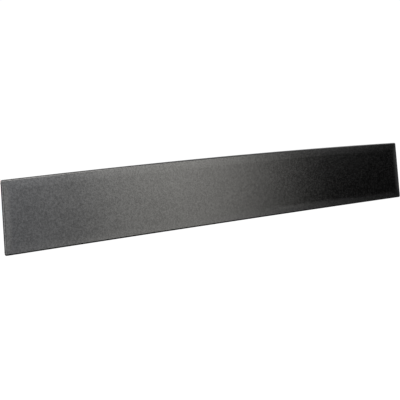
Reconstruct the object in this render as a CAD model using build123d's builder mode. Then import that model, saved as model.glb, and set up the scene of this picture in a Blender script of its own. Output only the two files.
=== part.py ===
"""A door kick plate: a long, low moulded panel, gently arched along the top and a little shorter there.

The face points to -Y, +X runs along the length and +Z is up. The origin is the middle of the plane
where the panel's rear land meets the door, so the push-in retainers' stems reach to +Y.

Behind the face there is a raised land with a foam seal in a groove outside it, a grid of ribs, eight
towers whose slots hold the heads of the retainers, foam backing pads and two locating pegs.
"""

import os
from math import sqrt

from build123d import *

# Panel outline
LENGTH = 812.8
END_HEIGHT = 101.6
END_DRAW = 3.6
TOP_RISE = 4.1
BOTTOM_RISE = 1.0
CORNER_RADIUS = 2.5

# Panel section: depths are measured from the door plane towards the front
FACE_DEPTH = 8.6
FLOOR_DEPTH = 6.0
EDGE_DEPTH = 3.5
CROWN_WIDTH = 14.0
CROWN_DROP = 1.0
CROWN_STEPS = 4
CROWN_CORNER_GROWTH = 0.9
EDGE_ROUND = 2.4
BACK_EDGE_ROUND = 0.5

# Seal groove and land, as distances in from the outline
GROOVE_OUTER = 1.8
GROOVE_INNER = 7.0
GROOVE_DEPTH = 1.5
LAND_OUTER = 7.4
LAND_INNER = 9.4
SEAL_GAP = 0.2
SEAL_PROUD = 0.8

# Ribs
RIB_THICKNESS = 1.4
RIB_CREST = 1.0
RIB_PITCH = 60.0
CROSS_RIBS = 12
LONG_RIB_OFFSET = 12.5

# Ejector-pin marks on the floor between the ribs
PIN_MARK_COLUMNS = (-300, -240, -180, -60, 0, 60, 180, 240, 300)
PIN_MARK_RADIUS = 3.5
PIN_MARK_HEIGHT = 0.25

# Retainer layout
COLUMNS = (120.0, 360.0)
ROW_OFFSET = 27.0
FLOAT = 1.5

# Retainer and its tower
HEAD_RADIUS = 6.5
HEAD_THICKNESS = 1.2
NECK_RADIUS = 3.0
FLANGE_RADIUS = 8.0
FLANGE_THICKNESS = 1.0
STEM_RADIUS = 3.3
STEM_START = 0.4
STEM_END = 3.0
STEM_TAPER = 0.6
CORE_RADIUS = 2.2
FIN_RADII = (4.6, 4.5, 4.2, 3.8)
FIN_FIRST = 4.9
FIN_PITCH = 2.3
FIN_ROOT_THICKNESS = 1.3
FIN_RIM_THICKNESS = 0.5
FIN_SWEEP = 0.7
TIP_LENGTH = 2.7
WASHER_RADIUS = 8.5
WASHER_BACK = 1.6
WASHER_PROUD = 0.3
PLATE_THICKNESS = 1.5
PLATE_GAP = 0.1
SLOT_GAP = 0.2
THROAT_WIDTH = 5.2
ENTRY_WIDTH = 8.4
TOWER_WALL = 1.6
TOWER_SIDE_ROOM = 0.5
TOWER_END_ROOM = 0.4
TOWER_MOUTH = 8.6

# Backing pads and locating pegs
PAD_LENGTH = 44.0
PAD_HEIGHT = 20.0
PAD_PITCH = 120.0
PAD_COUNT = 7
PAD_PROUD = 0.3
PAD_CORNER = 3.0
PEG_OFFSET = 180.0
PEG_RADIUS = 4.0
PEG_LENGTH = 7.0
PEG_LEAD = 1.2
PEG_BASE_RADIUS = 5.2
GUSSET_LENGTH = 20.0

# Worked-out places
CROWN_RADIUS = (CROWN_WIDTH**2 + CROWN_DROP**2) / (2 * CROWN_DROP)
SHOULDER_DEPTH = FACE_DEPTH - CROWN_DROP
FLANGE_DEPTH = WASHER_BACK + FLANGE_THICKNESS
PLATE_DEPTH = FLANGE_DEPTH + PLATE_GAP
PLATE_INNER_DEPTH = PLATE_DEPTH + PLATE_THICKNESS
HEAD_DEPTH = PLATE_INNER_DEPTH + PLATE_GAP
SLOT_RADIUS = NECK_RADIUS + SLOT_GAP
SLOT_TRAVEL = FLOAT + SLOT_GAP / 2
ROOM_BACK = HEAD_RADIUS + FLOAT + TOWER_END_ROOM
ROOM_HALF = HEAD_RADIUS + TOWER_SIDE_ROOM
NAMED_ROWS = (("upper", ROW_OFFSET), ("lower", -ROW_OFFSET))
NAMED_COLUMNS = tuple(enumerate((-COLUMNS[1], -COLUMNS[0], COLUMNS[0], COLUMNS[1]), start=1))


def outline(inset, corner):
    """The panel's outline, moved in by inset, with its corners rounded. Its ends lean in towards the top."""
    half, top = LENGTH / 2, END_HEIGHT / 2
    top_half = half - END_DRAW
    with BuildSketch() as shape:
        with BuildLine():
            ThreePointArc((-half, -top), (0, BOTTOM_RISE - top), (half, -top))
            Line((half, -top), (top_half, top))
            ThreePointArc((top_half, top), (0, top + TOP_RISE), (-top_half, top))
            Line((-top_half, top), (-half, -top))
        make_face()
        if inset:
            offset(amount=-inset, kind=Kind.INTERSECTION)
        fillet(shape.vertices(), radius=corner)
    return shape.sketch


def band(outer, inner):
    """The ring between two insets of the outline."""
    with BuildSketch() as ring:
        add(outline(outer, CORNER_RADIUS))
        add(outline(inner, CORNER_RADIUS / 2), mode=Mode.SUBTRACT)
    return ring.sketch


def finish(piece, name):
    """Label a piece and write it as a STEP file named after its node."""
    piece.label = name
    export_step(piece, f"parts/{name}.step")


def make_tower():
    """A doghouse tower on the retainer's axis, open to +X, whose slot holds the retainer's neck."""
    length = ROOM_BACK + TOWER_WALL + TOWER_MOUTH
    centre = (TOWER_MOUTH - ROOM_BACK - TOWER_WALL) / 2
    with BuildPart() as tower:
        with BuildSketch(Plane.XZ.offset(PLATE_DEPTH)):
            with Locations((centre, 0)):
                Rectangle(length, 2 * (ROOM_HALF + TOWER_WALL))
        extrude(amount=FLOOR_DEPTH - PLATE_DEPTH)
        fillet(tower.edges().filter_by(Axis.Y).group_by(Axis.X)[0], radius=TOWER_WALL)
        with BuildSketch(Plane.XZ.offset(PLATE_INNER_DEPTH)):
            with Locations(((TOWER_MOUTH - ROOM_BACK) / 2, 0)):
                Rectangle(ROOM_BACK + TOWER_MOUTH, 2 * ROOM_HALF)
        extrude(amount=FLOOR_DEPTH - PLATE_INNER_DEPTH, mode=Mode.SUBTRACT)
        with BuildSketch(Plane.XZ.offset(PLATE_DEPTH)):
            SlotCenterToCenter(2 * SLOT_TRAVEL, 2 * SLOT_RADIUS)
            with Locations((TOWER_MOUTH / 2, 0)):
                Rectangle(TOWER_MOUTH, THROAT_WIDTH)
            with BuildLine():
                Polyline(
                    (TOWER_MOUTH - ENTRY_WIDTH / 2, 0),
                    (TOWER_MOUTH, ENTRY_WIDTH / 2),
                    (TOWER_MOUTH, -ENTRY_WIDTH / 2),
                    close=True,
                )
            make_face()
        extrude(amount=PLATE_THICKNESS, mode=Mode.SUBTRACT)
    return tower.part


def make_peg():
    """A locating peg on a gusseted base that stands on the floor of the panel."""
    with BuildPart() as peg:
        with BuildSketch(Plane.XZ):
            Circle(PEG_BASE_RADIUS)
        extrude(amount=FLOOR_DEPTH)
        with BuildSketch(Plane.XZ.offset(RIB_CREST)):
            Rectangle(GUSSET_LENGTH, RIB_THICKNESS)
            Rectangle(RIB_THICKNESS, 2 * LONG_RIB_OFFSET)
        extrude(amount=FLOOR_DEPTH - RIB_CREST)
        with BuildSketch(Plane.XZ):
            Circle(PEG_RADIUS)
        extrude(amount=-(PEG_LENGTH + PEG_LEAD))
        chamfer(peg.faces().sort_by(Axis.Y)[-1].edges(), length=PEG_LEAD)
    return peg.part


def make_panel():
    """The one-piece moulding: crowned face, seal groove, land, ribs, pin marks, towers and pegs."""
    tower = make_tower()
    peg = make_peg()
    with BuildPart() as panel:
        with BuildSketch(Plane.XZ.offset(EDGE_DEPTH)):
            add(outline(0, CORNER_RADIUS))
        extrude(amount=SHOULDER_DEPTH - EDGE_DEPTH)
        for step in range(CROWN_STEPS + 1):
            inset = CROWN_WIDTH * step / CROWN_STEPS
            depth = FACE_DEPTH - CROWN_RADIUS + sqrt(CROWN_RADIUS**2 - (CROWN_WIDTH - inset) ** 2)
            with BuildSketch(Plane.XZ.offset(depth)):
                add(outline(inset, CORNER_RADIUS + inset * CROWN_CORNER_GROWTH))
        loft()
        shoulder = panel.edges().filter_by_position(Axis.Y, -SHOULDER_DEPTH, -SHOULDER_DEPTH)
        fillet(shoulder, radius=EDGE_ROUND)
        fillet(panel.faces().sort_by(Axis.Y)[-1].edges(), radius=BACK_EDGE_ROUND)

        with BuildSketch(Plane.XZ):
            add(band(LAND_OUTER, LAND_INNER))
        extrude(amount=EDGE_DEPTH)
        with BuildSketch(Plane.XZ.offset(EDGE_DEPTH)):
            add(band(GROOVE_OUTER, GROOVE_INNER))
        extrude(amount=GROOVE_DEPTH, mode=Mode.SUBTRACT)
        with BuildSketch(Plane.XZ):
            add(outline(LAND_INNER, CORNER_RADIUS / 2))
        extrude(amount=FLOOR_DEPTH, mode=Mode.SUBTRACT)

        with BuildSketch(Plane.XZ.offset(RIB_CREST)):
            with GridLocations(RIB_PITCH, 1, CROSS_RIBS, 1):
                Rectangle(RIB_THICKNESS, 2 * END_HEIGHT)
            with GridLocations(1, 2 * LONG_RIB_OFFSET, 1, 2):
                Rectangle(LENGTH, RIB_THICKNESS)
            add(outline((LAND_OUTER + LAND_INNER) / 2, CORNER_RADIUS / 2), mode=Mode.INTERSECT)
        extrude(amount=FLOOR_DEPTH - RIB_CREST)
        with BuildSketch(Plane.XZ.offset(FLOOR_DEPTH - PIN_MARK_HEIGHT)):
            with Locations(*[(x, z) for x in PIN_MARK_COLUMNS for _, z in NAMED_ROWS]):
                Circle(PIN_MARK_RADIUS)
        extrude(amount=PIN_MARK_HEIGHT)

        with Locations(*[(x, 0, z) for x in COLUMNS for _, z in NAMED_ROWS]):
            add(tower)
        with Locations(*[(-x, 0, z) for x in COLUMNS for _, z in NAMED_ROWS]):
            add(tower.mirror(Plane.YZ))
        with Locations((-PEG_OFFSET, 0, 0), (PEG_OFFSET, 0, 0)):
            add(peg)
    return panel.part


def make_retainer():
    """A push-in retainer on the Y axis: head, neck, flange, plain stem and four flexible fins."""
    with BuildPart() as retainer:
        with BuildSketch():
            with BuildLine():
                points = [
                    (0, -HEAD_DEPTH - HEAD_THICKNESS),
                    (HEAD_RADIUS, -HEAD_DEPTH - HEAD_THICKNESS),
                    (HEAD_RADIUS, -HEAD_DEPTH),
                    (NECK_RADIUS, -HEAD_DEPTH),
                    (NECK_RADIUS, -FLANGE_DEPTH),
                    (FLANGE_RADIUS, -FLANGE_DEPTH),
                    (FLANGE_RADIUS, -WASHER_BACK),
                    (NECK_RADIUS, -WASHER_BACK),
                    (NECK_RADIUS, STEM_START),
                    (STEM_RADIUS, STEM_START),
                    (STEM_RADIUS, STEM_END),
                    (CORE_RADIUS, STEM_END + STEM_TAPER),
                ]
                for index, radius in enumerate(FIN_RADII):
                    root = FIN_FIRST + FIN_PITCH * index
                    rim = root - FIN_SWEEP
                    points += [
                        (CORE_RADIUS, root),
                        (radius, rim),
                        (radius, rim + FIN_RIM_THICKNESS),
                        (CORE_RADIUS, root + FIN_ROOT_THICKNESS),
                    ]
                tip = root + FIN_ROOT_THICKNESS + TIP_LENGTH
                points += [(CORE_RADIUS / 2, tip), (0, tip)]
                Polyline(*points, close=True)
            make_face()
        revolve(axis=Axis.Y)
    return retainer.part


def make_washer():
    """A foam washer round the retainer's neck, standing a little proud of the door plane."""
    with BuildPart() as washer:
        with BuildSketch(Plane.XZ.offset(-WASHER_PROUD)):
            Circle(WASHER_RADIUS)
            Circle(NECK_RADIUS, mode=Mode.SUBTRACT)
        extrude(amount=WASHER_BACK + WASHER_PROUD)
    return washer.part


def make_pad():
    """A foam backing pad on the panel's floor, between two cross ribs."""
    with BuildPart() as pad:
        with BuildSketch(Plane.XZ.offset(-PAD_PROUD)):
            RectangleRounded(PAD_LENGTH, PAD_HEIGHT, PAD_CORNER)
        extrude(amount=FLOOR_DEPTH + PAD_PROUD)
    return pad.part


def make_seal(cut_to_side):
    """One strip of the seal: the groove's ring, cut down to one side by a sketch function."""
    with BuildPart() as seal:
        with BuildSketch(Plane.XZ.offset(-SEAL_PROUD)):
            add(band(GROOVE_OUTER + SEAL_GAP, GROOVE_INNER - SEAL_GAP))
            cut_to_side()
        extrude(amount=EDGE_DEPTH + GROOVE_DEPTH + SEAL_PROUD)
    return seal.part


def keep_end(side):
    """Keep the short strip at one end of the ring, between the two long strips."""
    strip_length = END_HEIGHT - 2 * (GROOVE_INNER + SEAL_GAP)
    with Locations((side * LENGTH / 2, 0)):
        Rectangle(2 * (GROOVE_INNER + END_DRAW), strip_length, mode=Mode.INTERSECT)


def keep_long(side):
    """Keep the long strip at the top (+1) or the bottom (-1) of the ring, corners included."""
    with Locations((0, side * END_HEIGHT / 2)):
        Rectangle(LENGTH, END_HEIGHT, mode=Mode.INTERSECT)
    with Locations((-LENGTH / 2, 0), (LENGTH / 2, 0)):
        Rectangle(2 * (GROOVE_INNER + END_DRAW), END_HEIGHT - 2 * GROOVE_INNER, mode=Mode.SUBTRACT)


def place(piece, x, z):
    """A copy of a piece made on the Y axis, moved to (x, z)."""
    with BuildPart() as placed:
        with Locations((x, 0, z)):
            add(piece)
    return placed.part


os.makedirs("parts", exist_ok=True)

finish(make_panel(), "kick_plate_panel")

finish(make_seal(lambda: keep_long(1)), "seal_top")
finish(make_seal(lambda: keep_long(-1)), "seal_bottom")
finish(make_seal(lambda: keep_end(-1)), "seal_left")
finish(make_seal(lambda: keep_end(1)), "seal_right")

retainer = make_retainer()
washer = make_washer()
for row, z in NAMED_ROWS:
    for number, x in NAMED_COLUMNS:
        finish(place(retainer, x, z), f"retainer_{row}_{number}")
        finish(place(washer, x, z), f"washer_{row}_{number}")

pad = make_pad()
for number in range(1, PAD_COUNT + 1):
    finish(place(pad, (number - (PAD_COUNT + 1) / 2) * PAD_PITCH, 0), f"backing_pad_{number}")
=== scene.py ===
"""The looks of a moulded door kick plate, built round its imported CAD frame.

Metres, +Z up. The plate's face points to -Y and its back, with the retainers, to +Y.
The moulding and the retainers are the CAD parts; every foam part is a mesh made here.
"""

import math

import bpy
from mathutils import Matrix, Vector, noise


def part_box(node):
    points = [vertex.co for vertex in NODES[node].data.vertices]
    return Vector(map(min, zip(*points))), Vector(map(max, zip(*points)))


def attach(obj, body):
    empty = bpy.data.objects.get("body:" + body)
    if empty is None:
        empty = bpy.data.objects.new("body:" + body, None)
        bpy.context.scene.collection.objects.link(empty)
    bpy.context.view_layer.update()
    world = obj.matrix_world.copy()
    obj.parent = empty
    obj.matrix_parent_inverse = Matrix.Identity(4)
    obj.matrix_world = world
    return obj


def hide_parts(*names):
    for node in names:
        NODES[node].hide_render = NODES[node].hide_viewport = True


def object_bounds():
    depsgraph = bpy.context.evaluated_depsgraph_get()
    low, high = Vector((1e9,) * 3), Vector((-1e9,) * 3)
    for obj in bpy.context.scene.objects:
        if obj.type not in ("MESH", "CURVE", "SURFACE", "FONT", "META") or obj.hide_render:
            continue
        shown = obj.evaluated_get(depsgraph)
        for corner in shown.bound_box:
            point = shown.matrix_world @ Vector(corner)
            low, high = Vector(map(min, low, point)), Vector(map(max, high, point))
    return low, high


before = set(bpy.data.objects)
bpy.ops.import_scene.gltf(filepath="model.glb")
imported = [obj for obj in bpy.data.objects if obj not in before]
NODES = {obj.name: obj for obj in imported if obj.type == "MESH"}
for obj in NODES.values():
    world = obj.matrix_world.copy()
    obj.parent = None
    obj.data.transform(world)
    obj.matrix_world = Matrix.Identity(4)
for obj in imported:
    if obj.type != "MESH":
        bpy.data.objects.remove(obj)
CAD_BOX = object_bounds()
MM = 0.001

# Camera: a long lens, to the left of the plate and a little above it, slightly rolled
VIEW_AZIMUTH = -38.51
VIEW_ELEVATION = 3.41
VIEW_ROLL = -4.57
VIEW_DISTANCE = 1.5305
VIEW_AIM = Vector((-0.0349, 0.0364, -0.0124))
LENS_MM = 85.7
SENSOR_MM = 36.0
CLIP_START, CLIP_END = 0.05, 50

FLOOR_DROP = 0.5
FLOOR_SIZE = 5.0
FLOOR_WHITE = (0.9, 0.9, 0.9, 1)
FLOOR_ROUGHNESS = 0.9
FLOOR_GLOW = 0.9

# Soft box: degrees to the right of straight ahead of the face, level, warmth
LIGHT_STRENGTH = 3.7
LIGHT_AROUND = (
    (-180, 0.12, 0), (-120, 0.14, 0), (-95, 0.3, 0), (-82, 1.6, 0), (-64, 1.4, 0), (-46, 0.42, 0),
    (-5, 0.45, 0), (10.2, 0.8, 0), (17.2, 0.82, 0), (26.2, 0.58, -1), (31.2, 0.61, 0), (35.8, 1.0, 1),
    (38.8, 0.92, 1), (42.3, 0.36, 1), (44.8, 0.04, 0), (46.8, 0.01, 0), (48.8, 0.002, 0),
    (50.2, 0.003, 0), (51.7, 0.014, 0), (55.2, 0.055, 0), (57.7, 0.08, 0), (60.2, 0.1, 0), (66, 0.15, 0),
    (88, 0.22, 0), (105, 0.22, 0), (140, 0.11, 0), (180, 0.12, 0),
)
# What a warmth of 1 adds to the red, green and blue, as a share of the level
WARMTH = (0.016, 0.0, -0.047)
# Soft box: degrees above the horizon, level
LIGHT_BY_HEIGHT = (
    (-90, 0.05), (-50, 0.05), (-33, 0.08), (-25, 0.6), (-19, 0.92), (-15, 0.86), (-6.8, 0.84),
    (-4.3, 0.86), (-3.5, 0.89), (-2.6, 1.03), (-1.8, 1.14), (1.2, 1.19), (5.2, 1.26), (10, 1.4),
    (16, 1.9), (31, 2.2), (61, 1.8), (90, 1.1),
)

# Glow of the room round the soft box: degrees to the right, then above the horizon, with a level
ROOM_AROUND = (
    (-180, 1), (0, 1), (15.2, 0.55), (37.2, 0.55), (42.2, 1.6), (45.2, 1.4), (47.7, 0.9), (50.2, 0.2),
    (60.2, 0.4), (75, 0.6), (100, 1), (180, 1),
)
ROOM_BY_HEIGHT = (
    (-90, 0.05), (-39, 0.05), (-27, 0.15), (-20, 0.5), (-14, 0.46), (-8.3, 0.26), (-5.8, 0.004),
    (-0.3, 0.004), (4.2, 0.15), (9.2, 0.5), (31, 0.45), (90, 0.35),
)

# A dim strip light at the black flag: level, then degrees to the right and above the horizon
STRIP_LEVEL = 0.28
STRIP_LEFT, STRIP_MIDDLE, STRIP_RIGHT = 44.8, 47.5, 49.0
STRIP_FOOT, STRIP_FULL = -3.2, 0.2

BACKDROP_LEVEL = 1.05
WHITE = (1, 1, 1, 1)

# Outline of the plate: how far the middle of each long edge lies above its ends
TOP_RISE = 4.1 * MM
BOTTOM_RISE = 1.0 * MM
# The ends lean in towards the top: by how much in all, and for each metre of height
END_DRAW = 3.6 * MM
PANEL_LOW, PANEL_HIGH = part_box("kick_plate_panel")
END_LEAN = END_DRAW / (PANEL_HIGH.z - TOP_RISE - PANEL_LOW.z)

# Where soft noise mostly lies
NOISE_SPAN = (0.3, 0.7)

# Moulded plastic: its grained outside fades out between these distances in from the outline, and
# between these planes behind the face
SIDE_WALL_FROM, SIDE_WALL_TO = 0.75 * MM, 1.0 * MM
FACE_FROM, FACE_TO = -6.9 * MM, -6.5 * MM
# Its marks, as noise scales for each metre, and how deep they are
GRAIN_SCALE = 270
STIPPLE_SCALE = 480
CLOUD_SCALE = 11
FLOW_SCALE = 60
FLOW_STRETCH = (0.25, 1, 1)
GRAIN_DEPTH = 0.05 * MM
STIPPLE_DEPTH = 0.012 * MM
# Its optics: a pair is the lowest and the highest value over the marks. Three of them follow the
# grain, each over its own span of the noise
PLASTIC_IOR = 1.6
GRAIN_SHINE, SHINE_SPAN = (0.69, 1.0), (0.33, 0.67)
OUTSIDE_GREY, GREY_SPAN = (0.0003, 0.0012), (0.35, 0.65)
OUTSIDE_ROUGHNESS, ROUGHNESS_SPAN = (0.055, 0.115), (0.37, 0.63)
CLOUD_SHINE = (0.95, 1.05)
STIPPLE_SHINE = (0.8, 1.12)
BACK_GREY = 0.009
BACK_SHINE = 0.8
BACK_ROUGHNESS = (0.26, 0.4)

# Natural nylon: its two shades, and its clouds and flow marks as noise scales for each metre
NYLON_SHADES = ((0.54, 0.51, 0.43), (0.62, 0.595, 0.52))
NYLON_ROUGHNESS = (0.3, 0.46)
NYLON_CLOUD_SCALE = 180
NYLON_FLOW_SCALE = 700
NYLON_FLOW_STRETCH = (1, 0.3, 1)
NYLON_FLOW_DEPTH = 0.02 * MM
NYLON_SCATTER = 0.25
NYLON_SCATTER_DEPTH = 1.2 * MM

# Cut foam: cells and finer cells, each with the distances from a cell's middle at which its pore
# ends and its wall is full, then patches, as a noise scale for each metre, and a soft sheen
CELL_PORE, CELL_WALL = 0.12, 0.45
FINE_CELLS = 2.3
FINE_PORE, FINE_WALL = 0.1, 0.5
FINE_PORE_LEVEL = 0.6
PATCH_SCALE = 90
PATCH_LEVELS = (0.75, 1.0)
FOAM_ROUGHNESS = (0.95, 0.72)
FOAM_SHEEN = 0.2
FOAM_SHEEN_ROUGHNESS = 0.4

# Unevenness of every cut face, as a noise scale for each metre
UNEVEN_SCALE = 400.0

# Foam seal: a strip with a domed back and rounded outer corners
SEAL_DOME = 2.8 * MM
SEAL_DOME_POINTS = 13
SEAL_CORNER = 2.5 * MM
SEAL_CORNER_SHARES = (0.04, 0.12, 0.25, 0.42)
SEAL_STEP = 1.6 * MM
SEAL_UNEVENNESS = 0.14 * MM

# Foam washer
WASHER_STEPS = 72
WASHER_BORE = 3.08 * MM
WASHER_EDGE = 0.45 * MM
WASHER_FLAT_SHARES = (0.25, 0.5, 0.75, 1.0)
WASHER_UNEVENNESS = 0.08 * MM

# Foam pad: rings of points at shares of its side, of its soft edge and of the way in over its back
PAD_CORNER = 3.0 * MM
PAD_LEAST_CORNER = 0.3 * MM
PAD_CORNER_POINTS = 6
PAD_LONG_POINTS = 26
PAD_SHORT_POINTS = 10
PAD_SIDE_DRAW = 0.3 * MM
PAD_SIDE_HEIGHT = 0.7
PAD_SIDE_SHARES = (0.25, 0.5, 0.75, 1)
PAD_EDGE = 0.9 * MM
PAD_EDGE_SHARES = (0, 0.25, 0.5, 0.75, 1)
PAD_PILLOW = 0.5 * MM
PAD_PILLOW_STEEPNESS = 1.4
PAD_BACK_SHARES = (0.1, 0.22, 0.36, 0.5, 0.65, 0.8, 0.95)
PAD_UNEVENNESS = 0.12 * MM

SHARP_ANGLE = math.radians(50)


def add_camera():
    """The camera, at the product picture's angle."""
    data = bpy.data.cameras.new("camera")
    data.lens, data.sensor_width = LENS_MM, SENSOR_MM
    data.clip_start, data.clip_end = CLIP_START, CLIP_END
    camera = bpy.data.objects.new("camera", data)
    bpy.context.scene.collection.objects.link(camera)
    azimuth, elevation = math.radians(VIEW_AZIMUTH), math.radians(VIEW_ELEVATION)
    back = Vector((
        math.sin(azimuth) * math.cos(elevation),
        -math.cos(azimuth) * math.cos(elevation),
        math.sin(elevation),
    ))
    turn = (-back).to_track_quat("-Z", "Y").to_matrix() @ Matrix.Rotation(math.radians(VIEW_ROLL), 3, "Z")
    camera.matrix_world = Matrix.Translation(VIEW_AIM + back * VIEW_DISTANCE) @ turn.to_4x4()
    bpy.context.scene.camera = camera


class Shader:
    """A short way to write a node tree."""

    def __init__(self, tree):
        self.tree = tree
        tree.nodes.clear()

    def add(self, kind, **settings):
        """Add a node; each setting is one of its properties, or else the name of an input."""
        node = self.tree.nodes.new(kind)
        for name, value in settings.items():
            if hasattr(node, name):
                setattr(node, name, value)
            else:
                self.set(node, name.replace("_", " "), value)
        return node

    def set(self, node, socket, value):
        """Give an input a value, or link it to another node's output."""
        if isinstance(value, bpy.types.NodeSocket):
            self.tree.links.new(value, node.inputs[socket])
        else:
            node.inputs[socket].default_value = value

    def math(self, operation, a, b=0.0):
        """Arithmetic on one or two numbers."""
        node = self.add("ShaderNodeMath", operation=operation)
        self.set(node, 0, a)
        self.set(node, 1, b)
        return node.outputs[0]

    def vector(self, operation, a, b):
        """A sum or a product of two colours."""
        node = self.add("ShaderNodeVectorMath", operation=operation)
        self.set(node, 0, a)
        self.set(node, 1, b)
        return node.outputs[0]

    def ramp(self, value, low, high, out_low=0.0, out_high=1.0, smooth=True):
        """Map a number from low..high to out_low..out_high, clamped."""
        node = self.add("ShaderNodeMapRange", interpolation_type="SMOOTHSTEP" if smooth else "LINEAR")
        numbers = {"From Min": low, "From Max": high, "To Min": out_low, "To Max": out_high}
        for socket, number in numbers.items():
            self.set(node, socket, number)
        self.set(node, "Value", value)
        return node.outputs["Result"]

    def curve(self, value, stops, low, high):
        """A colour that changes in straight lines between (position, colour) stops."""
        node = self.add("ShaderNodeValToRGB", Fac=self.ramp(value, low, high, smooth=False))
        points = node.color_ramp.elements
        while len(points) < len(stops):
            points.new(1.0)
        for point, (position, colour) in zip(points, stops):
            point.position = (position - low) / (high - low)
            point.color = (*colour, 1)
        return node.outputs["Color"]

    def noise(self, place, scale, detail=2.0, roughness=0.5):
        """Soft noise, mostly between 0.3 and 0.7."""
        node = self.add("ShaderNodeTexNoise", Scale=scale, Detail=detail, Roughness=roughness, Vector=place)
        return node.outputs["Fac"]

    def cells(self, place, scale):
        """Distance from the middle of the nearest foam cell."""
        return self.add("ShaderNodeTexVoronoi", Scale=scale, Vector=place).outputs["Distance"]

    def stretch(self, place, factors):
        """Texture coordinates scaled along each axis."""
        return self.add("ShaderNodeMapping", Vector=place, Scale=factors).outputs["Vector"]

    def mix(self, factor, a, b):
        """Blend two colours, or two greys given as numbers."""
        node = self.add("ShaderNodeMix", data_type="RGBA")
        colours = [(c, c, c) if isinstance(c, float) else c for c in (a, b)]
        self.set(node, 0, factor)
        for socket, colour in zip((6, 7), colours):
            self.set(node, socket, colour if isinstance(colour, bpy.types.NodeSocket) else (*colour, 1))
        return node.outputs[2]

    def bump(self, height, distance, normal=None):
        """Surface relief of a given depth, on top of other relief if there is any."""
        node = self.add("ShaderNodeBump", Height=height, Distance=distance)
        if normal is not None:
            self.set(node, "Normal", normal)
        return node.outputs["Normal"]


def new_material(name):
    """A material with a Principled surface: itself, its shader, object coordinates and the surface."""
    material = bpy.data.materials.new(name)
    material.use_nodes = True
    shader = Shader(material.node_tree)
    surface = shader.add("ShaderNodeBsdfPrincipled")
    shader.set(shader.add("ShaderNodeOutputMaterial"), "Surface", surface.outputs[0])
    return material, shader, shader.add("ShaderNodeTexCoord").outputs["Object"], surface


def grey_stops(levels):
    """Grey colour stops from (position, level) pairs."""
    return [(position, [level] * 3) for position, level in levels]


def add_world():
    """A white backdrop for the camera, and what lights the plate and shows in it.

    That is one soft box in front, to the right of the face, which ends at a black flag, with a
    glow of the room round it and a dim strip light at the flag.
    """
    world = bpy.data.worlds.new("studio")
    world.use_nodes = True
    bpy.context.scene.world = world
    s = Shader(world.node_tree)
    way = s.add("ShaderNodeSeparateXYZ", Vector=s.add("ShaderNodeTexCoord").outputs["Generated"])
    x, y, z = (way.outputs[k] for k in "XYZ")
    around = s.math("MULTIPLY", s.math("ARCTAN2", x, s.math("MULTIPLY", y, -1.0)), math.degrees(1))
    height = s.math("MULTIPLY", s.math("ARCSINE", z), math.degrees(1))

    tinted_stops = [
        (angle, [level * (1 + warmth * channel) for channel in WARMTH])
        for angle, level, warmth in LIGHT_AROUND
    ]
    box_around = s.curve(around, tinted_stops, -180, 180)
    box_height = s.curve(height, grey_stops(LIGHT_BY_HEIGHT), -90, 90)
    box = s.vector("MULTIPLY", s.vector("MULTIPLY", box_around, box_height), (LIGHT_STRENGTH,) * 3)
    room_around = s.curve(around, grey_stops(ROOM_AROUND), -180, 180)
    room_height = s.curve(height, grey_stops(ROOM_BY_HEIGHT), -90, 90)
    room = s.vector("MULTIPLY", room_around, room_height)
    strip_left = s.ramp(around, STRIP_LEFT, STRIP_MIDDLE)
    strip_right = s.ramp(around, STRIP_MIDDLE, STRIP_RIGHT, 1.0, 0.0)
    strip_height = s.ramp(height, STRIP_FOOT, STRIP_FULL, 0.0, STRIP_LEVEL)
    strip = s.math("MULTIPLY", s.math("MULTIPLY", strip_left, strip_right), strip_height)
    light = s.vector("ADD", s.vector("ADD", box, room), strip)

    backdrop = s.add("ShaderNodeMixShader", Fac=s.add("ShaderNodeLightPath").outputs["Is Camera Ray"])
    s.set(backdrop, 1, s.add("ShaderNodeBackground", Color=light).outputs[0])
    s.set(backdrop, 2, s.add("ShaderNodeBackground", Color=WHITE, Strength=BACKDROP_LEVEL).outputs[0])
    s.set(s.add("ShaderNodeOutputWorld"), "Surface", backdrop.outputs[0])


def add_floor():
    """A plain white floor well under the plate, which neither shows in the plate nor lights it."""
    half, z = FLOOR_SIZE / 2, CAD_BOX[0].z - FLOOR_DROP
    corners = [(-half, -half, z), (half, -half, z), (half, half, z), (-half, half, z)]
    mesh = bpy.data.meshes.new("floor")
    mesh.from_pydata(corners, [], [(0, 1, 2, 3)])
    floor = bpy.data.objects.new("floor", mesh)
    bpy.context.scene.collection.objects.link(floor)
    floor.visible_glossy = floor.visible_diffuse = False
    material, s, _, surface = new_material("floor_white")
    s.set(surface, "Base Color", FLOOR_WHITE)
    s.set(surface, "Roughness", FLOOR_ROUGHNESS)
    s.set(surface, "Emission Color", WHITE)
    s.set(surface, "Emission Strength", FLOOR_GLOW)
    mesh.materials.append(material)


def outside_of_moulding(s, place):
    """1 on the face, its rounded edge and the outer side walls; 0 in the groove and behind."""
    axes = s.add("ShaderNodeSeparateXYZ", Vector=place)
    x, y, z = (axes.outputs[k] for k in "XYZ")
    bow = s.math("POWER", s.math("DIVIDE", x, PANEL_HIGH.x), 2.0)
    lean = s.math("MULTIPLY", s.math("SUBTRACT", z, PANEL_LOW.z), END_LEAN)
    from_end = s.math("SUBTRACT", s.math("SUBTRACT", PANEL_HIGH.x, s.math("ABSOLUTE", x)), lean)
    from_top = s.math("SUBTRACT", s.math("SUBTRACT", PANEL_HIGH.z, z), s.math("MULTIPLY", bow, TOP_RISE))
    from_middle = s.math("SUBTRACT", z, PANEL_LOW.z + BOTTOM_RISE)
    from_bottom = s.math("ADD", from_middle, s.math("MULTIPLY", bow, BOTTOM_RISE))
    from_outline = s.math("MINIMUM", from_end, s.math("MINIMUM", from_top, from_bottom))
    sides = s.ramp(from_outline, SIDE_WALL_FROM, SIDE_WALL_TO, 1.0, 0.0)
    return s.math("MAXIMUM", sides, s.ramp(y, FACE_FROM, FACE_TO, 1.0, 0.0))


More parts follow.
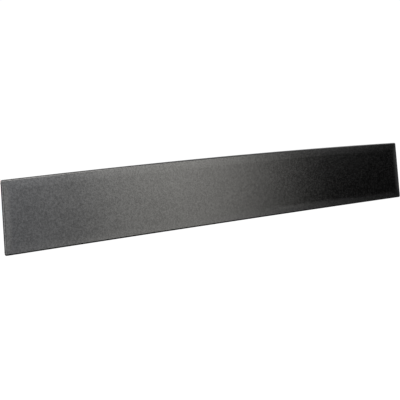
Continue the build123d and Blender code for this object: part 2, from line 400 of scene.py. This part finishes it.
def moulded_plastic():
    """Black moulded plastic: a fine spark-eroded grain outside, a smoother tool finish behind."""
    material, s, place, surface = new_material("moulded_black")
    grained = outside_of_moulding(s, place)
    plain = s.math("SUBTRACT", 1.0, grained)
    grain = s.noise(place, GRAIN_SCALE, detail=5, roughness=0.75)
    clouds = s.noise(place, CLOUD_SCALE)
    stipple = s.noise(place, STIPPLE_SCALE, detail=1)
    flow = s.noise(s.stretch(place, FLOW_STRETCH), FLOW_SCALE)

    # The grain also tints the reflection, because relief alone shows too little of it
    coarse = s.ramp(grain, *SHINE_SPAN, *GRAIN_SHINE)
    shine = s.math("MULTIPLY", coarse, s.ramp(clouds, *NOISE_SPAN, *CLOUD_SHINE))
    shine = s.math("MULTIPLY", shine, s.ramp(stipple, *NOISE_SPAN, *STIPPLE_SHINE))
    s.set(surface, "Specular Tint", s.mix(plain, s.mix(shine, 0.0, 1.0), BACK_SHINE))
    s.set(surface, "IOR", PLASTIC_IOR)
    s.set(surface, "Base Color", s.mix(plain, s.mix(s.ramp(grain, *GREY_SPAN), *OUTSIDE_GREY), BACK_GREY))

    outside = s.math("MULTIPLY", s.ramp(grain, *ROUGHNESS_SPAN, *OUTSIDE_ROUGHNESS), grained)
    back = s.math("MULTIPLY", s.ramp(flow, *NOISE_SPAN, *BACK_ROUGHNESS), plain)
    s.set(surface, "Roughness", s.math("ADD", outside, back))

    relief = s.bump(s.math("MULTIPLY", grain, grained), GRAIN_DEPTH)
    s.set(surface, "Normal", s.bump(stipple, STIPPLE_DEPTH, relief))
    return material


def natural_nylon():
    """Milky natural nylon with faint flow marks and a satin surface."""
    material, s, place, surface = new_material("natural_nylon")
    clouds = s.noise(place, NYLON_CLOUD_SCALE)
    flow = s.noise(s.stretch(place, NYLON_FLOW_STRETCH), NYLON_FLOW_SCALE)
    s.set(surface, "Base Color", s.mix(s.ramp(clouds, *NOISE_SPAN), *NYLON_SHADES))
    s.set(surface, "Roughness", s.ramp(flow, *NOISE_SPAN, *NYLON_ROUGHNESS))
    s.set(surface, "Subsurface Weight", NYLON_SCATTER)
    s.set(surface, "Subsurface Scale", NYLON_SCATTER_DEPTH)
    s.set(surface, "Normal", s.bump(flow, NYLON_FLOW_DEPTH))
    return material


def foam(name, dark, light, cell_size, pore_depth):
    """Cut foam: open cells, each a dark pore with a paler wall, matt, with a soft sheen."""
    material, s, place, surface = new_material(name)
    cell = s.cells(place, 1 / cell_size)
    fine = s.cells(place, FINE_CELLS / cell_size)
    fine_walls = s.ramp(fine, FINE_PORE, FINE_WALL, FINE_PORE_LEVEL, 1.0)
    walls = s.math("MULTIPLY", s.ramp(cell, CELL_PORE, CELL_WALL), fine_walls)
    patches = s.ramp(s.noise(place, PATCH_SCALE), *NOISE_SPAN, *PATCH_LEVELS)
    s.set(surface, "Base Color", s.mix(s.math("MULTIPLY", walls, patches), dark, light))
    s.set(surface, "Roughness", s.ramp(walls, 0.0, 1.0, *FOAM_ROUGHNESS))
    s.set(surface, "Sheen Weight", FOAM_SHEEN)
    s.set(surface, "Sheen Roughness", FOAM_SHEEN_ROUGHNESS)
    s.set(surface, "Normal", s.bump(walls, pore_depth))
    return material


def give(node, material):
    """Put one material on every face of a CAD node."""
    mesh = NODES[node].data
    mesh.materials.clear()
    mesh.materials.append(material)


def uneven(point, depth):
    """A dent between 0 and depth, from smooth noise at a point."""
    return depth * (0.5 + 0.5 * noise.noise(point * UNEVEN_SCALE))


def add_foam(node, rings, material, body, closed=False):
    """A piece that stands for a CAD node: a skin over rings of points, capped unless it is a closed loop."""
    count = len(rings[0])
    vertices = [point for ring in rings for point in ring]
    turns = len(rings) if closed else len(rings) - 1
    faces = []
    for turn in range(turns):
        here, there = turn * count, (turn + 1) % len(rings) * count
        for k in range(count):
            after = (k + 1) % count
            faces.append((here + k, here + after, there + after, there + k))
    if not closed:
        faces.append(tuple(reversed(range(count))))
        faces.append(tuple(range(len(vertices) - count, len(vertices))))
    mesh = bpy.data.meshes.new(f"foam_{node}")
    mesh.from_pydata(vertices, [], faces)
    mesh.polygons.foreach_set("use_smooth", [True] * len(faces))
    mesh.set_sharp_from_angle(angle=SHARP_ANGLE)
    mesh.materials.append(material)
    piece = bpy.data.objects.new(f"foam_{node}", mesh)
    bpy.context.scene.collection.objects.link(piece)
    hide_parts(node)
    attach(piece, body)


def strip_section(half, low_y, high_y):
    """Points (across, y) round a strip: flat in its groove, with a dome that stands out of it."""
    shoulder = high_y - SEAL_DOME
    section = [(-half, low_y), (-half, (low_y + shoulder) / 2)]
    for k in range(SEAL_DOME_POINTS):
        angle = math.pi * (1 - k / (SEAL_DOME_POINTS - 1))
        section.append((half * math.cos(angle), shoulder + SEAL_DOME * math.sin(angle)))
    return section + [(half, (low_y + shoulder) / 2), (half, low_y)]


def strip_stations(length, trimmed):
    """Distances along a strip, closer together at its ends where a corner is rounded."""
    steps = round(length / SEAL_STEP)
    stations = [length * k / steps for k in range(steps + 1)]
    if trimmed:
        close = [SEAL_CORNER * share for share in SEAL_CORNER_SHARES]
        stations = sorted(stations + close + [length - distance for distance in close])
    return stations


def corner_trim(distance):
    """How far a rounded corner cuts into the outer side, at a distance from the strip's end."""
    reach = max(SEAL_CORNER - distance, 0.0)
    return SEAL_CORNER - math.sqrt(SEAL_CORNER**2 - reach**2)


def add_long_seal(side, rise, half, material):
    """The seal strip along the top (+1) or bottom (-1), which follows the edge's shallow arc."""
    node = "seal_top" if side > 0 else "seal_bottom"
    low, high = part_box(node)
    length = high.x - low.x
    end_z = high.z - rise if side > 0 else low.z
    rings = []
    for station in strip_stations(length, trimmed=True):
        x = low.x + station
        middle_z = end_z - side * half + rise * (1 - (2 * x / length) ** 2)
        outer = half - corner_trim(min(station, length - station))
        ring = []
        for across, y in strip_section(half, low.y, high.y):
            across = min(across, across * outer / half)
            dent = uneven(Vector((x, y, across)), SEAL_UNEVENNESS)
            inward = 1 - dent / half
            ring.append(Vector((x, y - dent * (y > low.y), middle_z + side * across * inward)))
        rings.append(ring if side > 0 else ring[::-1])
    add_foam(node, rings, material, "panel")


def add_end_seal(side, half, material):
    """The straight seal strip at the left (-1) or right (+1) end, which leans in as the end does."""
    node = "seal_right" if side > 0 else "seal_left"
    low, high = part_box(node)
    outer_x = high.x if side > 0 else low.x
    rings = []
    for station in strip_stations(high.z - low.z, trimmed=False):
        z = low.z + station
        middle_x = outer_x - side * (half + END_LEAN * station)
        ring = []
        for across, y in strip_section(half, low.y, high.y):
            dent = uneven(Vector((side, y, z)), SEAL_UNEVENNESS)
            inward = 1 - dent / half
            ring.append(Vector((middle_x + across * inward, y - dent * (y > low.y), z)))
        rings.append(ring[::-1])
    add_foam(node, rings, material, "panel")


def add_washer(row, number, material):
    """A die-cut washer round a retainer's neck, with a slightly crushed rim."""
    node = f"washer_{row}_{number}"
    low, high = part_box(node)
    centre, radius = (low + high) / 2, (high.x - low.x) / 2
    middle = (low.y + high.y) / 2
    section = [(WASHER_BORE, low.y), (WASHER_BORE, high.y - WASHER_EDGE / 2)]
    section += [(WASHER_BORE + WASHER_EDGE / 2, high.y)]
    flat = radius - WASHER_EDGE - WASHER_BORE
    section += [(WASHER_BORE + flat * share, high.y) for share in WASHER_FLAT_SHARES]
    section += [
        (radius - WASHER_EDGE * (1 - math.sin(turn)), high.y - WASHER_EDGE * (1 - math.cos(turn)))
        for turn in (math.pi / 6, math.pi / 3, math.pi / 2)
    ]
    section += [(radius - WASHER_EDGE / 3, middle), (radius - WASHER_EDGE / 4, low.y + WASHER_EDGE / 2)]
    section += [(radius - WASHER_EDGE / 2, low.y)]
    rings = []
    for step in range(WASHER_STEPS):
        angle = 2 * math.pi * step / WASHER_STEPS
        ring = []
        for reach, y in section:
            point = Vector((centre.x + reach * math.cos(angle), y, centre.z + reach * math.sin(angle)))
            if y > middle:
                point.y -= uneven(point, WASHER_UNEVENNESS)
            ring.append(point)
        rings.append(ring[::-1])
    add_foam(node, rings, material, f"{row}_retainer_{number}", closed=True)


def pad_outline(half_x, half_z, corner):
    """Points (x, z) round a rectangle with rounded corners, always the same number of them."""

    def on_corner(turn, angle):
        side_x, side_z = ((1, 1), (-1, 1), (-1, -1), (1, -1))[turn % 4]
        return (
            side_x * (half_x - corner) + corner * math.cos(angle),
            side_z * (half_z - corner) + corner * math.sin(angle),
        )

    points = []
    for turn in range(4):
        quarter = math.pi / 2 * turn
        for k in range(PAD_CORNER_POINTS):
            points.append(on_corner(turn, quarter + math.pi / 2 * k / (PAD_CORNER_POINTS - 1)))
        start, end = points[-1], on_corner(turn + 1, quarter + math.pi / 2)
        steps = PAD_SHORT_POINTS if turn % 2 else PAD_LONG_POINTS
        for k in range(1, steps):
            share = k / steps
            points.append(tuple(a + (b - a) * share for a, b in zip(start, end)))
    return points


def add_pad(number, material):
    """A die-cut backing pad: sides drawn in a little, a soft edge and a slightly pillowed back."""
    node = f"backing_pad_{number}"
    low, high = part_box(node)
    centre, half_x, half_z = (low + high) / 2, (high.x - low.x) / 2, (high.z - low.z) / 2
    thickness = high.y - low.y
    layers = [(0.0, 0.0)]
    for share in PAD_SIDE_SHARES:
        layers.append((PAD_SIDE_DRAW * math.sin(math.pi * share), thickness * share * PAD_SIDE_HEIGHT))
    for share in PAD_EDGE_SHARES:
        turn = math.pi / 2 * share
        inset = PAD_EDGE * (1 - math.cos(turn))
        layers.append((inset, thickness - PAD_PILLOW - PAD_EDGE * (1 - math.sin(turn))))
    for share in PAD_BACK_SHARES:
        inset = PAD_EDGE + (half_z - PAD_EDGE) * share
        rise = math.sin(math.pi / 2 * min(inset / half_z * PAD_PILLOW_STEEPNESS, 1))
        layers.append((inset, thickness - PAD_PILLOW * (1 - rise)))
    rings = []
    for inset, lift in layers:
        ring = []
        corner = max(PAD_CORNER - inset, PAD_LEAST_CORNER)
        for x, z in pad_outline(half_x - inset, half_z - inset, corner):
            point = Vector((centre.x + x, low.y + lift, centre.z + z))
            if lift > 0:
                dent = uneven(point, PAD_UNEVENNESS)
                point.y -= dent
                point.x -= math.copysign(dent, x)
                point.z -= math.copysign(dent, z)
            ring.append(point)
        rings.append(ring[::-1])
    add_foam(node, rings, material, "panel")


add_camera()
add_world()
add_floor()
bpy.context.scene.view_settings.view_transform = "Standard"

give("kick_plate_panel", moulded_plastic())
nylon = natural_nylon()
for name in NODES:
    if name.startswith("retainer_"):
        give(name, nylon)

seal_material = foam(
    "seal_foam", dark=(0.006, 0.006, 0.007), light=(0.032, 0.032, 0.034),
    cell_size=0.55 * MM, pore_depth=0.12 * MM,
)
strip_low, strip_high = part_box("seal_bottom")
half_width = (strip_high.z - strip_low.z - BOTTOM_RISE) / 2
add_long_seal(1, TOP_RISE, half_width, seal_material)
add_long_seal(-1, BOTTOM_RISE, half_width, seal_material)
add_end_seal(-1, half_width, seal_material)
add_end_seal(1, half_width, seal_material)

washer_material = foam(
    "washer_foam", dark=(0.012, 0.012, 0.014), light=(0.06, 0.06, 0.066),
    cell_size=0.5 * MM, pore_depth=0.1 * MM,
)
for row in ("upper", "lower"):
    for number in range(1, 5):
        add_washer(row, number, washer_material)

pad_material = foam(
    "pad_foam", dark=(0.07, 0.075, 0.085), light=(0.30, 0.31, 0.33),
    cell_size=0.9 * MM, pore_depth=0.25 * MM,
)
for number in range(1, 8):
    add_pad(number, pad_material)
